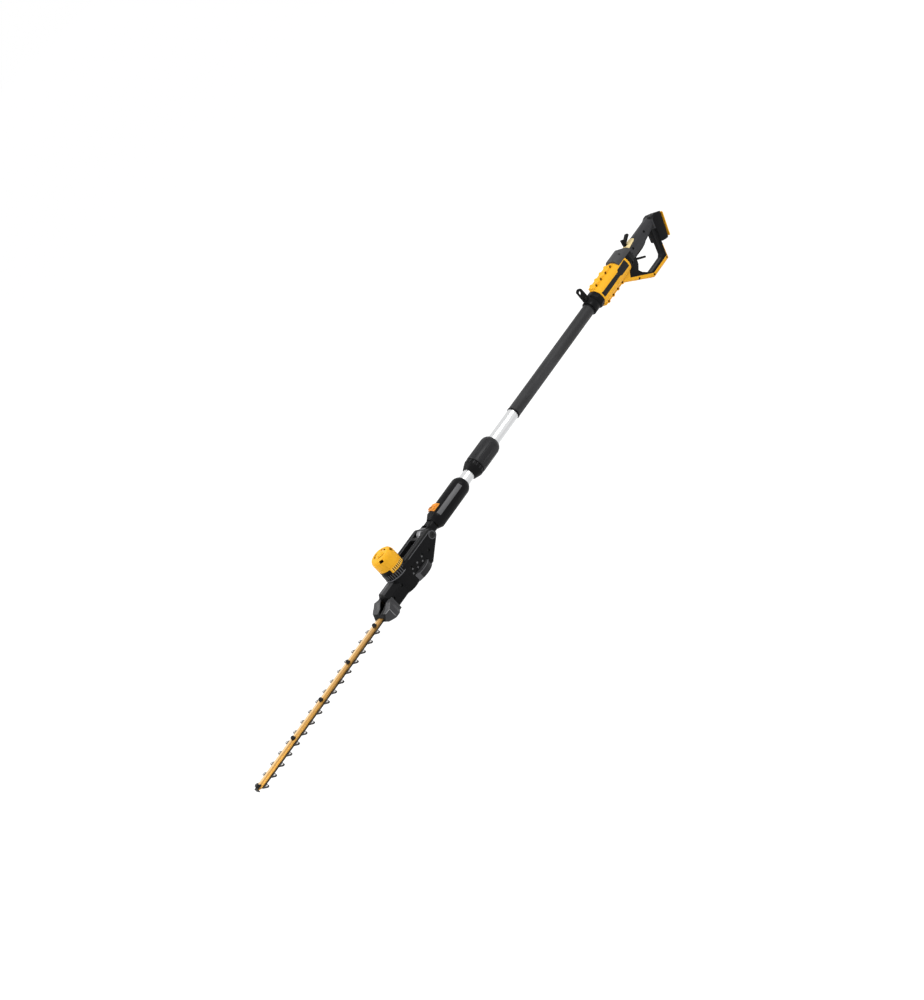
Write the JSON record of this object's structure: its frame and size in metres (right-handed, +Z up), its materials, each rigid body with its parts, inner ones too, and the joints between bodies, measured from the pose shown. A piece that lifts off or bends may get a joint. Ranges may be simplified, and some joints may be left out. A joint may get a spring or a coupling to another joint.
{
  "type": "pole hedge trimmer",
  "caption": "Battery pole hedge trimmer with a tilting motor head, reciprocating blades, a screw-coupled pole with foam sleeve and a D-loop hand grip.",
  "frame": {"origin": "bottom centre of the whole part, under the pole; the loop of the hand grip and the blade guard reach lowest", "axes": "+X along the pole from the blade tip to the battery foot, +Y to the right of the pole seen from the hand grip, +Z up on the motor side"},
  "size_m": [2.1234, 0.092, 0.179],
  "materials": {
    "yellow_plastic": "moulded satin",
    "black_plastic": "moulded satin",
    "dark_plastic": "fine spark texture",
    "grey_plastic": "fine spark texture",
    "pale_plastic": "moulded satin",
    "orange_plastic": "moulded satin",
    "soft_grip": "soft matt",
    "foam": "closed-cell foam",
    "aluminium_tube": "bright anodised",
    "gold_bar": "gold anodised",
    "blade_steel": "dark ground steel",
    "dark_steel": "blackened",
    "bright_steel": "machined",
    "cast_alloy": "die cast",
    "copper": "wound copper and steel",
    "contact_brass": "plated",
    "lead_rubber": "smooth"
  },
  "bodies": {
    "pole": {"body_shell_left": "yellow_plastic", "body_shell_right": "yellow_plastic", "grip_shell_left": "soft_grip", "grip_shell_right": "soft_grip", "top_cover": "grey_plastic", "side_inlays": "dark_plastic", "nose_collar": "black_plastic", "strap_clamp": "black_plastic", "clamp_screw": "dark_steel", "upper_tube": "aluminium_tube", "foam_sleeve": "foam", "controller": "black_plastic", "switch_box": "black_plastic", "battery_rails": "black_plastic", "terminal_block": "black_plastic", "terminal_blades": "contact_brass", "trigger_pin": "bright_steel", "lock_off_pin": "bright_steel", "lock_off_plate": "pale_plastic", "lever_springs": "bright_steel", "body_screws": "dark_steel", "grip_screws": "dark_steel", "power_lead": "lead_rubber", "coupling_socket": "black_plastic", "coupling_ring": "dark_plastic", "coupling_contacts": "black_plastic", "lower_tube": "aluminium_tube", "lower_housing_left": "black_plastic", "lower_housing_right": "black_plastic", "housing_inlays": "grey_plastic", "pivot_knuckle": "black_plastic", "plunger_spring": "bright_steel"},
    "nut": {"coupling_nut": "black_plastic"},
    "trigger": {"trigger": "black_plastic"},
    "lock_off": {"lock_off_lever": "black_plastic"},
    "release": {"release_slider": "orange_plastic", "lock_plunger": "bright_steel"},
    "head": {"head_shell_left": "black_plastic", "head_shell_right": "black_plastic", "detent_sector": "bright_steel", "pivot_bolt": "dark_steel", "pivot_nut": "dark_steel", "head_screws": "dark_steel", "motor_can": "black_plastic", "motor_cap": "yellow_plastic", "stator": "copper", "bearings": "bright_steel", "gear_case": "cast_alloy", "gear_cover": "cast_alloy", "blade_bar": "gold_bar", "blade_bolts": "dark_steel", "tip_cap": "dark_steel", "blade_guard": "black_plastic"},
    "rotor": {"rotor": "dark_steel", "fan": "black_plastic", "pinion": "bright_steel"},
    "crank": {"crank_gear": "dark_steel", "crank_shaft": "bright_steel"},
    "upper_blade": {"upper_blade": "blade_steel"},
    "lower_blade": {"lower_blade": "blade_steel"}
  },
  "joints": [
    {"name": "head_tilt", "type": "hinge", "parent": "pole", "child": "head", "pos_m": [-0.24823, 0, 0.107], "axis": [0, 1, 0], "range_deg": [-90, 90]},
    {"name": "coupling_turn", "type": "hinge", "parent": "pole", "child": "nut", "pos_m": [0.01178, 0, 0.107], "axis": [1, 0, 0], "range_deg": [0, 270]},
    {"name": "trigger_pull", "type": "hinge", "parent": "pole", "child": "trigger", "pos_m": [0.87077, 0, 0.095], "axis": [0, -1, 0], "range_deg": [0, 14], "stiffness_Nm_per_rad": 0.5, "springref_deg": -11.46},
    {"name": "lock_off_press", "type": "hinge", "parent": "pole", "child": "lock_off", "pos_m": [0.88277, 0, 0.122], "axis": [0, 1, 0], "range_deg": [0, 11], "stiffness_Nm_per_rad": 0.4, "springref_deg": -11.46},
    {"name": "release_slide", "type": "slide", "parent": "pole", "child": "release", "axis": [1, 0, 0], "range_m": [-0.0055, 0], "stiffness_N_per_m": 1500, "springref_m": -0.0115, "deforming": ["plunger_spring"]},
    {"name": "crank_turn", "type": "hinge", "parent": "head", "child": "crank", "pos_m": [-0.33622, 0, 0.107], "axis": [0, 0, 1], "continuous": true},
    {"name": "rotor_spin", "type": "hinge", "parent": "head", "child": "rotor", "pos_m": [-0.38022, 0, 0.107], "axis": [0, 0, 1], "continuous": true},
    {"name": "upper_blade_slide", "type": "slide", "parent": "head", "child": "upper_blade", "axis": [1, 0, 0], "range_m": [-0.008, 0.008]},
    {"name": "lower_blade_slide", "type": "slide", "parent": "head", "child": "lower_blade", "axis": [1, 0, 0], "range_m": [-0.008, 0.008]}
  ],
  "couplings": [
    {"joint": "rotor_spin", "follows": "crank_turn", "ratio": -7},
    {"joint": "lower_blade_slide", "follows": "upper_blade_slide", "ratio": -1}
  ]
}
